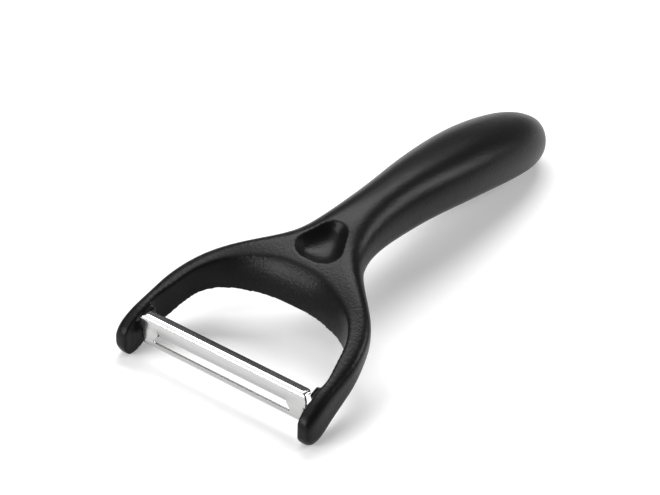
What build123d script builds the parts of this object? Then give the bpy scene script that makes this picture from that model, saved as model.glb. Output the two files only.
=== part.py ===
from build123d import *
import math
import os

# Vegetable peeler with a Y-shaped handle and a swivelling blade, in millimetres.
# +Y runs from the blade towards the end of the grip, +X along the blade, +Z up.
# The peeler lies on the tips of its arms and on the end of its grip, at Z = 0.

# Driving sizes
handle_length = 140.5
handle_height = 25.8
blade_length = 50.0
blade_end_gap = 0.9
arm_thickness = 3.4
cut_overrun = 4.0

# Fork sizes that follow the blade
mouth_half_width = blade_length / 2 + blade_end_gap
fork_half_width = mouth_half_width + arm_thickness
front_y = -handle_length / 2

# Outer body, one row for each station along the handle, as shares:
# place along the length, half width of the fork, top and bottom of the height,
# and how much of the half width and of the half height each corner rounds off.
body_shares = [
    (0.000, 0.990, 0.245, 0.120, 0.050, 0.60),
    (0.004, 1.000, 0.295, 0.065, 0.055, 0.60),
    (0.012, 1.010, 0.345, 0.015, 0.060, 0.60),
    (0.024, 1.015, 0.385, 0.000, 0.065, 0.55),
    (0.055, 1.010, 0.450, 0.060, 0.070, 0.50),
    (0.090, 1.000, 0.498, 0.145, 0.080, 0.50),
    (0.130, 0.988, 0.555, 0.235, 0.100, 0.55),
    (0.170, 0.944, 0.617, 0.320, 0.140, 0.62),
    (0.210, 0.862, 0.685, 0.365, 0.200, 0.72),
    (0.250, 0.705, 0.765, 0.410, 0.290, 0.80),
    (0.290, 0.516, 0.828, 0.442, 0.430, 0.86),
    (0.330, 0.372, 0.884, 0.450, 0.640, 0.92),
    (0.375, 0.298, 0.945, 0.445, 0.820, 0.95),
    (0.430, 0.268, 0.984, 0.425, 0.950, 0.96),
    (0.500, 0.266, 0.992, 0.390, 0.960, 0.96),
    (0.580, 0.296, 0.982, 0.350, 0.960, 0.96),
    (0.670, 0.336, 0.940, 0.275, 0.960, 0.96),
    (0.750, 0.355, 0.885, 0.195, 0.960, 0.96),
    (0.830, 0.356, 0.795, 0.105, 0.960, 0.96),
    (0.890, 0.334, 0.705, 0.040, 0.960, 0.96),
    (0.940, 0.282, 0.605, 0.010, 0.960, 0.96),
    (0.973, 0.208, 0.505, 0.040, 0.960, 0.96),
    (0.993, 0.108, 0.405, 0.120, 0.960, 0.96),
    (1.000, 0.020, 0.280, 0.240, 0.960, 0.96),
]

# Fork opening, whose wall slopes back above its waist
arch_start = 9.5
arch_depth_share = 0.182
arch_shares = [(0.950, 0.31), (0.882, 0.57), (0.71, 0.81), (0.39, 0.955)]
wall_height_shares = [-0.10, 0.42, 0.55, 0.80]
wall_depth_shares = [0.95, 0.865, 0.89, 1.05]

# Thumb dimple in the neck, placed by shares of the handle's length and height
dimple_rear_share = 0.361
dimple_rear_radius = 3.2
dimple_front_share = 0.279
dimple_front_radius = 3.4
dimple_front_spread = 2.0
dimple_floor_share = 0.775
dimple_floor_slope = 10.0
dimple_wall_slope = 16.0
dimple_floor_radius = 3.0

# Blade, stamped from strip
sheet = 0.6
blade_height = 8.15
blade_lean = 3.0
blade_edge_from_front = 4.2
blade_edge_height = 3.5
top_bend_radius = 1.2
top_bend_angle = 102.0
flange_flat = 2.1
strip_edge = 0.15
blade_corner_radius = 2.0
flange_corner_radius = 2.4
foot_bend_radius = 2.0
foot_bend_angle = 37.0
slot_bottom = 1.65
slot_top = 3.8
slot_upper_margin = 5.45
slot_lower_margin = 3.9
slot_corner_radius = 0.4
lip_top = 5.5
lip_set_back = 0.45
lip_edge_thickness = 0.15

# Ears bent back at the blade's ends, and the pins they carry
ear_bend_radius = 1.2
ear_bottom = 1.35
pivot_behind_face = 4.6
pivot_above_edge = 2.7
ear_half_height = 1.9
ear_corner_radius = 0.6
pin_radius = 1.0
pin_fit = 0.02
pin_head_radius = 1.5
pin_head_height = 0.6
pin_head_edge = 0.25
socket_depth = 2.5
socket_fit = 0.08
pin_end_gap = 0.2

# Stop lugs inside the arm tips
lug_rise = 1.5
lug_length = 3.3
lug_height = 2.2
lug_tilt = 17.0
lug_behind_pivot = -0.45
lug_above_pivot = 4.05
lug_edge = 0.3


def station(share):
    return front_y + share * handle_length


def body_section(row):
    y_share, width_share, top_share, bottom_share, corner_share, corner_height_share = row
    half = width_share * fork_half_width
    top = top_share * handle_height
    bottom = bottom_share * handle_height
    rx = corner_share * half
    rz = corner_height_share * (top - bottom) / 2
    corners = [
        (half - rx, top - rz, 0),
        (half - rx, bottom + rz, -90),
        (rx - half, bottom + rz, -180),
        (rx - half, top - rz, 90),
    ]
    lines = [
        Line((rx - half, top), (half - rx, top)),
        Line((half, top - rz), (half, bottom + rz)),
        Line((half - rx, bottom), (rx - half, bottom)),
        Line((-half, bottom + rz), (-half, top - rz)),
    ]
    edges = []
    for line, (x, z, start_angle) in zip(lines, corners):
        edges += [line, EllipticalCenterArc((x, z), rx, rz, start_angle, arc_size=90)]
    plane = Plane(origin=(0, station(y_share), 0), x_dir=(1, 0, 0), z_dir=(0, -1, 0))
    return plane * make_face(edges)


def handle_body():
    return loft([body_section(row) for row in body_shares])


def opening_outline(height_share, depth_share):
    depth = arch_depth_share * handle_length * depth_share
    start = front_y + arch_start
    front = front_y - cut_overrun
    right = [(x * mouth_half_width, start + y * depth) for x, y in arch_shares]
    root = (0, start + depth)
    arch_right = Spline((mouth_half_width, start), *right, root, tangents=[(0, 1), (-1, 0)])
    arch_left = mirror(arch_right, about=Plane.YZ)
    corners = [(mouth_half_width, front), (mouth_half_width, start)]
    sides = Line(*corners) + Line((-mouth_half_width, start), (-mouth_half_width, front))
    closing = Line((-mouth_half_width, front), (mouth_half_width, front))
    face = make_face([*sides.edges(), *arch_right.edges(), *arch_left.edges(), closing])
    return Pos(0, 0, height_share * handle_height) * face


def fork_opening():
    levels = zip(wall_height_shares, wall_depth_shares)
    return loft([opening_outline(height, depth) for height, depth in levels])


def blade_pose():
    place = Pos(0, front_y + blade_edge_from_front, blade_edge_height)
    return place * Rot(-blade_lean, 0, 0)


def pivot_centre():
    return (blade_pose() * Pos(0, pivot_behind_face, pivot_above_edge)).position


def along_x(sketch, x_from, x_to):
    # Sketch X becomes the model's Y, and sketch Y its Z.
    plane = Plane(origin=(x_from, 0, 0), x_dir=(0, 1, 0), z_dir=(1, 0, 0))
    return extrude(plane * sketch, x_to - x_from)


def seen_from_front(sketch):
    # Sketch X stays the model's X, and sketch Y becomes its Z.
    plane = Plane(origin=(0, -cut_overrun, 0), x_dir=(1, 0, 0), z_dir=(0, -1, 0))
    return extrude(plane * sketch, -(2 * cut_overrun + top_bend_radius + flange_flat))


def blade_strip():
    top_centre = (top_bend_radius, blade_height - top_bend_radius)
    foot_centre = (foot_bend_radius, foot_bend_radius * math.sin(math.radians(foot_bend_angle)))
    top_outer = CenterArc(top_centre, top_bend_radius, 180, -top_bend_angle)
    top_inner = CenterArc(top_centre, top_bend_radius - sheet, 180, -top_bend_angle)
    foot_outer = CenterArc(foot_centre, foot_bend_radius, 180, foot_bend_angle)
    foot_inner = CenterArc(foot_centre, foot_bend_radius - sheet, 180, foot_bend_angle)
    flat_outer = Line(top_outer @ 1, (top_outer @ 1) + (top_outer % 1) * flange_flat)
    flat_inner = Line(top_inner @ 1, (top_inner @ 1) + (top_inner % 1) * flange_flat)
    outline = make_face([
        foot_outer,
        Line(foot_outer @ 0, top_outer @ 0),
        top_outer,
        flat_outer,
        Line(flat_outer @ 1, flat_inner @ 1),
        flat_inner,
        top_inner,
        Line(top_inner @ 0, foot_inner @ 0),
        foot_inner,
        Line(foot_inner @ 1, foot_outer @ 1),
    ])
    ends = [flat_outer @ 1, flat_inner @ 1, foot_outer @ 1, foot_inner @ 1]
    corners = [outline.vertices().sort_by_distance(end)[0] for end in ends]
    half = blade_length / 2
    return along_x(fillet(corners, strip_edge), -half, half)


def cutting_lip():
    # Bends in behind the face from lip_top down to the slot, and thins to its edge.
    outline = Polyline(
        (0, lip_top),
        (sheet, lip_top),
        (lip_set_back + lip_edge_thickness, slot_top),
        (lip_set_back, slot_top),
        close=True,
    )
    half = blade_length / 2 - slot_upper_margin
    return along_x(make_face(outline), -half, half)


def lip_window():
    height = lip_top - slot_top
    window = Rectangle(blade_length - 2 * slot_upper_margin, height)
    return seen_from_front(Pos(0, slot_top + height / 2) * window)


def blade_blank():
    outline = Pos(0, blade_height / 2) * Rectangle(blade_length, blade_height)
    top_corners = outline.vertices().group_by(Axis.Y)[-1]
    return seen_from_front(fillet(top_corners, blade_corner_radius))


def flange_blank():
    past_level = math.radians(top_bend_angle - 90)
    bend_depth = top_bend_radius * (1 + math.sin(past_level))
    depth = bend_depth + flange_flat * math.cos(past_level)
    outline = Pos(0, depth / 2) * Rectangle(blade_length, depth)
    rear_corners = outline.vertices().group_by(Axis.Y)[-1]
    return extrude(fillet(rear_corners, flange_corner_radius), blade_height + cut_overrun)


def blade_slot():
    upper = blade_length / 2 - slot_upper_margin
    lower = blade_length / 2 - slot_lower_margin
    corners = [(-lower, slot_bottom), (lower, slot_bottom), (upper, slot_top), (-upper, slot_top)]
    outline = make_face(Polyline(*corners, close=True))
    return seen_from_front(fillet(outline.vertices(), slot_corner_radius))


def ear(pin_hole_radius):
    half = blade_length / 2
    top = pivot_above_edge + ear_half_height
    back = pivot_behind_face + ear_half_height
    height = top - ear_bottom
    front = ear_bend_radius
    plate = Pos((front + back) / 2, (ear_bottom + top) / 2) * Rectangle(back - front, height)
    rear_corners = plate.vertices().group_by(Axis.X)[-1]
    plate = fillet(rear_corners, ear_corner_radius)
    plate -= Pos(pivot_behind_face, pivot_above_edge) * Circle(pin_hole_radius)
    centre = (half - ear_bend_radius, ear_bend_radius)
    inner = ear_bend_radius - sheet
    bend = [
        CenterArc(centre, ear_bend_radius, -90, 90),
        Line((half, ear_bend_radius), (half - sheet, ear_bend_radius)),
        CenterArc(centre, inner, -90, 90),
        Line((centre[0], sheet), (centre[0], 0)),
    ]
    corner = Pos(0, 0, ear_bottom) * extrude(make_face(bend), height)
    return along_x(plate, half - sheet, half) + corner


def ear_relief():
    # Clears the strip's end beside the bend that leads into the ear.
    width = ear_bend_radius + cut_overrun
    height = pivot_above_edge + ear_half_height + cut_overrun
    centre_x = blade_length / 2 - ear_bend_radius + width / 2
    outline = Pos(centre_x, height / 2 - cut_overrun) * Rectangle(width, height)
    return seen_from_front(outline)


def make_blade():
    blade = (blade_strip() & blade_blank() & flange_blank()) - blade_slot()
    blade = blade - lip_window() + cutting_lip()
    right_ear = ear(pin_radius + pin_fit)
    relief = ear_relief()
    blade = blade - relief - mirror(relief, about=Plane.YZ)
    blade = blade + right_ear + mirror(right_ear, about=Plane.YZ)
    return blade_pose() * blade


def pin(side):
    centre = pivot_centre()
    ear_inside = blade_length / 2 - sheet
    tip = mouth_half_width + socket_depth - pin_end_gap
    shank = Pos(0, 0, (ear_inside + tip) / 2) * Cylinder(pin_radius, tip - ear_inside)
    head = Pos(0, 0, ear_inside - pin_head_height / 2) * Cylinder(pin_head_radius, pin_head_height)
    head = fillet(head.edges().group_by(Axis.Z)[0], pin_head_edge)
    right_pin = Pos(0, centre.Y, centre.Z) * Rot(0, 90, 0) * (shank + head)
    return right_pin if side > 0 else mirror(right_pin, about=Plane.YZ)


def pivot_socket():
    centre = pivot_centre()
    length = socket_depth + blade_end_gap
    middle = mouth_half_width + socket_depth - length / 2
    bore = Rot(0, 90, 0) * Cylinder(pin_radius + socket_fit, length)
    return Pos(middle, centre.Y, centre.Z) * bore


def stop_lug():
    centre = pivot_centre()
    block = Box(2 * lug_rise, lug_length, lug_height)
    block = fillet(block.edges(), lug_edge)
    place = Pos(mouth_half_width, centre.Y + lug_behind_pivot, centre.Z + lug_above_pivot)
    return place * Rot(lug_tilt, 0, 0) * block


def thumb_dimple():
    front = dimple_front_share * handle_length + dimple_front_radius
    rear = dimple_rear_share * handle_length - dimple_rear_radius
    floor = dimple_floor_share * handle_height
    rear_end = Circle(dimple_rear_radius)
    right_end = Pos(dimple_front_spread, front - rear) * Circle(dimple_front_radius)
    left_end = Pos(-dimple_front_spread, front - rear) * Circle(dimple_front_radius)
    outline = make_hull([*rear_end.edges(), *right_end.edges(), *left_end.edges()])
    tool = extrude(outline, handle_height - floor + cut_overrun, taper=-dimple_wall_slope)
    floor_edges = tool.edges().group_by(Axis.Z)[0]
    tool = fillet(floor_edges, dimple_floor_radius)
    return Pos(0, front_y + rear, floor) * Rot(dimple_floor_slope, 0, 0) * tool


def make_handle():
    handle = handle_body() - fork_opening()
    lug = stop_lug()
    socket = pivot_socket()
    handle = handle + lug + mirror(lug, about=Plane.YZ)
    handle = handle - socket - mirror(socket, about=Plane.YZ)
    return handle - thumb_dimple()


nodes = {
    "handle": make_handle(),
    "blade": make_blade(),
    "right_pivot_pin": pin(1),
    "left_pivot_pin": pin(-1),
}
os.makedirs("parts", exist_ok=True)
for name, solid in nodes.items():
    export_step(solid, f"parts/{name}.step")
centre = pivot_centre()
print("blade swivels about X through", round(centre.Y, 4), round(centre.Z, 4))
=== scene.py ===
import math

import bmesh
import bpy
from mathutils import Matrix, Vector


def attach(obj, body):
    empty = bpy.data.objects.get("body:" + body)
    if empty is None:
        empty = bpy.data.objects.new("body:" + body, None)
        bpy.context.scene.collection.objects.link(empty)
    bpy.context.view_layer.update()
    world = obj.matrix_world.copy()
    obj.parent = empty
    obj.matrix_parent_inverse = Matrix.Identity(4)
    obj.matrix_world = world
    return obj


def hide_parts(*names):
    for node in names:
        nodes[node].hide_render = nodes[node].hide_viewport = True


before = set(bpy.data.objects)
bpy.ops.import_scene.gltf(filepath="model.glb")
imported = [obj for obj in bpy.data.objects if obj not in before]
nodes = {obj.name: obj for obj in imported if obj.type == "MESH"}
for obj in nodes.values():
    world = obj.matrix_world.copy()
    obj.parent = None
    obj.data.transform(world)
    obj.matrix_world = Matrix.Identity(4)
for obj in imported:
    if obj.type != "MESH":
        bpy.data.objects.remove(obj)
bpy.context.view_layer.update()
mm = 0.001
print("frame loaded:", ", ".join(sorted(nodes)))


# Camera, fitted to the blade's straight edges and the outline of the handle
camera = {
    "azimuth": 35.704,  # degrees from the front, towards +X
    "elevation": 35.626,  # degrees above the floor
    "roll": 2.0,  # degrees
    "target": (-5.647, -15.496, 12.0),  # mm, like the lengths below
    "distance": 608.0,
    "lens": 132.92,
    "sensor": 36.0,
    "clipStart": 10.0,
}


def placeCamera():
    azimuth = math.radians(camera["azimuth"])
    elevation = math.radians(camera["elevation"])
    roll = math.radians(camera["roll"])
    back = Vector((
        math.sin(azimuth) * math.cos(elevation),
        -math.cos(azimuth) * math.cos(elevation),
        math.sin(elevation),
    ))
    right = Vector((math.cos(azimuth), math.sin(azimuth), 0))
    up = back.cross(right)
    xAxis = right * math.cos(roll) + up * math.sin(roll)
    yAxis = up * math.cos(roll) - right * math.sin(roll)
    data = bpy.data.cameras.new("camera")
    data.lens = camera["lens"]
    data.sensor_width = camera["sensor"]
    data.clip_start = camera["clipStart"] * mm
    view = bpy.data.objects.new("camera", data)
    turn = Matrix((xAxis, yAxis, back)).transposed().to_4x4()
    place = Vector(camera["target"]) * mm + back * camera["distance"] * mm
    view.matrix_world = Matrix.Translation(place) @ turn
    bpy.context.scene.collection.objects.link(view)
    bpy.context.scene.camera = view


placeCamera()
bpy.context.scene.view_settings.view_transform = "Standard"
print("camera placed")


# Shader maths: an expression on values adds its Math nodes
class Value:
    def __init__(self, tree, socket):
        self.tree = tree
        self.socket = socket

    def maths(self, operation, *inputs):
        sockets = dict(enumerate(inputs))
        return self.tree.node("ShaderNodeMath", {"operation": operation}, sockets)

    def __add__(self, other):
        return self.maths("ADD", self, other)

    def __sub__(self, other):
        return self.maths("SUBTRACT", self, other)

    def __rsub__(self, other):
        return self.maths("SUBTRACT", other, self)

    def __mul__(self, other):
        return self.maths("MULTIPLY", self, other)

    __radd__ = __add__
    __rmul__ = __mul__


# The sockets that a Mix node uses for colours, by number because their names repeat
mixSockets = {"factor": 0, "first": 6, "second": 7, "result": 2}


class Tree:
    def __init__(self, owner):
        owner.use_nodes = True
        self.nodes = owner.node_tree.nodes
        self.links = owner.node_tree.links
        self.nodes.clear()

    def node(self, kind, settings=None, sockets=None, output=0):
        made = self.nodes.new(kind)
        for name, value in (settings or {}).items():
            setattr(made, name, value)
        for name, value in (sockets or {}).items():
            if isinstance(value, Value):
                self.links.new(value.socket, made.inputs[name])
            else:
                made.inputs[name].default_value = value
        return Value(self, made.outputs[output])

    def mixColours(self, factor, first, second):
        return self.node("ShaderNodeMix", {"data_type": "RGBA"}, {
            mixSockets["factor"]: factor,
            mixSockets["first"]: first,
            mixSockets["second"]: second,
        }, mixSockets["result"])

    def objectPoint(self):
        return self.node("ShaderNodeTexCoord", output="Object")

    def noise(self, point, size, detail, stretch=None):
        if stretch:
            point = self.node("ShaderNodeMapping", None, {"Vector": point, "Scale": stretch})
        sockets = {"Vector": point, "Scale": 1 / size, "Detail": detail}
        return self.node("ShaderNodeTexNoise", None, sockets)

    def bump(self, height, distance):
        return self.node("ShaderNodeBump", None, {"Distance": distance, "Height": height})

    def finish(self, shader, kind="ShaderNodeOutputMaterial"):
        made = self.nodes.new(kind)
        self.links.new(shader.socket, made.inputs["Surface"])


# Black moulded plastic with a fine matte grain
plasticLook = {
    "dark": (0.0032, 0.0032, 0.0033, 1),
    "light": (0.0052, 0.0052, 0.0053, 1),
    "patch": 9 * mm,
    "patchDetail": 2.0,
    "grain": 0.7 * mm,
    "grainDetail": 3.0,
    "grainMiddle": 0.5,
    "bumpHeight": 0.07 * mm,
    "roughness": 0.34,
    "roughnessSpread": 0.06,
    "specular": 0.14,
}


def makePlastic():
    look = plasticLook
    material = bpy.data.materials.new("blackPlastic")
    tree = Tree(material)
    point = tree.objectPoint()
    grain = tree.noise(point, look["grain"], look["grainDetail"])
    patches = tree.noise(point, look["patch"], look["patchDetail"])
    shader = tree.node("ShaderNodeBsdfPrincipled", None, {
        "Base Color": tree.mixColours(patches, look["dark"], look["light"]),
        "Roughness": look["roughness"] + look["roughnessSpread"] * (grain - look["grainMiddle"]),
        "Normal": tree.bump(grain, look["bumpHeight"]),
        "Specular IOR Level": look["specular"],
    })
    tree.finish(shader)
    return material


# Polished stainless steel with hair-fine lines, along the strip and round the turned pins
steelLook = {
    "dark": (0.46, 0.46, 0.46, 1),
    "light": (0.60, 0.60, 0.595, 1),
    "line": 0.12 * mm,
    "lineDetail": 2.0,
    "stripStretch": (0.02, 1, 1),  # below 1 draws the lines out that way
    "turnStretch": (1, 0.3, 0.3),
    "bumpHeight": 0.0005 * mm,
    "roughness": 0.13,
    "roughnessSpread": 0.05,
    "metallic": 1.0,
}


def makeSteel(name, stretch):
    look = steelLook
    material = bpy.data.materials.new(name)
    tree = Tree(material)
    lines = tree.noise(tree.objectPoint(), look["line"], look["lineDetail"], stretch)
    shader = tree.node("ShaderNodeBsdfPrincipled", None, {
        "Base Color": tree.mixColours(lines, look["dark"], look["light"]),
        "Metallic": look["metallic"],
        "Roughness": look["roughness"] + look["roughnessSpread"] * lines,
        "Normal": tree.bump(lines, look["bumpHeight"]),
    })
    tree.finish(shader)
    return material


plastic = makePlastic()
bladeSteel = makeSteel("polishedStrip", steelLook["stripStretch"])
pinSteel = makeSteel("turnedPin", steelLook["turnStretch"])
print("materials made")


# A finer piece starts from a CAD node's mesh, with its loose triangles merged
mergeDistance = 0.002 * mm


def mergedCopy(node):
    bm = bmesh.new()
    bm.from_mesh(nodes[node].data)
    bmesh.ops.remove_doubles(bm, verts=bm.verts, dist=mergeDistance)
    return bm


def addObject(name, bm, material):
    mesh = bpy.data.meshes.new(name)
    bm.to_mesh(mesh)
    bm.free()
    mesh.materials.append(material)
    made = bpy.data.objects.new(name, mesh)
    bpy.context.scene.collection.objects.link(made)
    return made


def addPiece(name, bm, material):
    piece = addObject(name, bm, material)
    return piece


def bakeModifiers(piece):
    bpy.context.view_layer.update()
    graph = bpy.context.evaluated_depsgraph_get()
    mesh = bpy.data.meshes.new_from_object(piece.evaluated_get(graph))
    piece.modifiers.clear()
    piece.data = mesh


# Handle: one even skin over the moulding, so that every crease has a moulded radius
handleSkin = {
    "voxel": 0.37 * mm,
    "smoothing": 0.5,
    "passes": 10,
    "bowlPasses": 260,
}

# Thumb dimple: the part of its bowl below the rim, where floor and walls run into each other
dimpleBowl = {
    "halfWidth": 6 * mm,
    "front": -31.5 * mm,
    "rear": -19 * mm,
    "lowest": 18 * mm,
    "rimAtFront": 20.4 * mm,
    "rimSlope": 0.25,
    "weight": 1.0,
}


def inBowl(point):
    look = dimpleBowl
    rim = look["rimAtFront"] + look["rimSlope"] * (point.y - look["front"])
    across = abs(point.x) < look["halfWidth"]
    return across and look["front"] < point.y < look["rear"] and look["lowest"] < point.z < rim


def addSoftening(piece, name, passes):
    soften = piece.modifiers.new(name, "SMOOTH")
    soften.factor = handleSkin["smoothing"]
    soften.iterations = passes
    return soften


def makeHandle():
    look = handleSkin
    piece = addPiece("mouldedHandle", mergedCopy("handle"), plastic)
    remesh = piece.modifiers.new("remesh", "REMESH")
    remesh.mode = "VOXEL"
    remesh.voxel_size = look["voxel"]
    addSoftening(piece, "soften", look["passes"])
    bakeModifiers(piece)
    bowl = piece.vertex_groups.new(name="bowl")
    inside = [vertex.index for vertex in piece.data.vertices if inBowl(vertex.co)]
    bowl.add(inside, dimpleBowl["weight"], "REPLACE")
    addSoftening(piece, "hollow", look["bowlPasses"]).vertex_group = bowl.name
    bakeModifiers(piece)
    piece.data.polygons.foreach_set("use_smooth", [True] * len(piece.data.polygons))
    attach(piece, "handle_body")
    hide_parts("handle")
    print("handle:", len(piece.data.polygons), "faces")


# Blade and pins: their cut edges are broken by polishing
steelEdges = {
    "flatAngle": math.radians(0.5),
    "sharpAngle": math.radians(35),
    "width": 0.07 * mm,
    "steps": 2,
    "profile": 0.5,
    "smoothAngle": math.radians(50),
}


def breakEdges(bm):
    look = steelEdges
    bmesh.ops.dissolve_limit(
        bm, angle_limit=look["flatAngle"], verts=bm.verts, edges=bm.edges)
    closed = [edge for edge in bm.edges if len(edge.link_faces) == 2]
    sharp = [edge for edge in closed if edge.calc_face_angle() > look["sharpAngle"]]
    bmesh.ops.bevel(
        bm, geom=sharp, affect="EDGES", offset=look["width"], segments=look["steps"],
        profile=look["profile"], material=-1, clamp_overlap=True)
    manySided = [face for face in bm.faces if len(face.verts) > 4]
    bmesh.ops.triangulate(bm, faces=manySided)


def shadeByAngle(bm):
    for face in bm.faces:
        face.smooth = True
    for edge in bm.edges:
        closed = len(edge.link_faces) == 2
        edge.smooth = closed and edge.calc_face_angle() < steelEdges["smoothAngle"]


def polishedCopy(node):
    bm = mergedCopy(node)
    breakEdges(bm)
    shadeByAngle(bm)
    return bm


def makeBlade():
    piece = addPiece("stampedBlade", polishedCopy("blade"), bladeSteel)
    weigh = piece.modifiers.new("weigh", "WEIGHTED_NORMAL")
    weigh.keep_sharp = True
    bakeModifiers(piece)
    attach(piece, "blade_body")
    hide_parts("blade")
    print("blade:", len(piece.data.polygons), "faces")


def makePin(side):
    bm = polishedCopy(side + "_pivot_pin")
    piece = addPiece(side + "TurnedPin", bm, pinSteel)
    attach(piece, "blade_body")
    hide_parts(side + "_pivot_pin")


makeHandle()
makeBlade()
makePin("left")
makePin("right")
print("pieces made")


# Stage: a pale floor, which glows faintly where it is seen or mirrored, and a dim plain world
stage = {
    "floorSize": 4.0,  # metres
    "floorColour": (0.8, 0.8, 0.8, 1),
    "floorGlow": 0.25,
    "worldColour": (1, 1, 1, 1),
    "worldLight": 0.16,
}

# Soft lamps that face the object, with places and sizes in metres and power in watts
lamps = {
    "keyLamp": {"place": (-0.40, 0.54, 0.95), "size": (0.9, 0.52), "power": 12.0},
    "edgeLamp": {"place": (0.58, 0.66, 0.47), "size": (0.24, 0.32), "power": 3.4},
    "frontLamp": {"place": (-0.31, -0.86, 0.36), "size": (0.5, 0.36), "power": 6.0},
    "topLamp": {"place": (-0.42, -0.34, 0.86), "size": (0.8, 0.8), "power": 3.0},
}


def seenOrMirrored(tree):
    seen = tree.node("ShaderNodeLightPath", output="Is Camera Ray")
    mirrored = tree.node("ShaderNodeLightPath", output="Is Glossy Ray")
    through = tree.node("ShaderNodeLightPath", output="Is Transmission Ray")
    return seen + mirrored + through


def makePaleFloor():
    material = bpy.data.materials.new("paleFloor")
    tree = Tree(material)
    diffuse = tree.node("ShaderNodeBsdfDiffuse", None, {"Color": stage["floorColour"]})
    glow = tree.node("ShaderNodeEmission", None, {
        "Strength": seenOrMirrored(tree) * stage["floorGlow"],
    })
    tree.finish(tree.node("ShaderNodeAddShader", None, {0: diffuse, 1: glow}))
    return material


def makeFloor():
    bm = bmesh.new()
    bmesh.ops.create_grid(bm, x_segments=1, y_segments=1, size=stage["floorSize"] / 2)
    floor = addObject("floor", bm, makePaleFloor())


def makeWorld():
    world = bpy.data.worlds.new("world")
    bpy.context.scene.world = world
    tree = Tree(world)
    background = tree.node("ShaderNodeBackground", None, {
        "Color": stage["worldColour"],
        "Strength": stage["worldLight"],
    })
    tree.finish(background, "ShaderNodeOutputWorld")


def makeLamp(name, look):
    data = bpy.data.lights.new(name, "AREA")
    data.shape = "RECTANGLE"
    data.size, data.size_y = look["size"]
    data.energy = look["power"]
    lamp = bpy.data.objects.new(name, data)
    lamp.location = look["place"]
    lamp.rotation_euler = (-Vector(look["place"])).to_track_quat("-Z", "Y").to_euler()
    bpy.context.scene.collection.objects.link(lamp)


makeFloor()
makeWorld()
for name, look in lamps.items():
    makeLamp(name, look)
print("stage set")
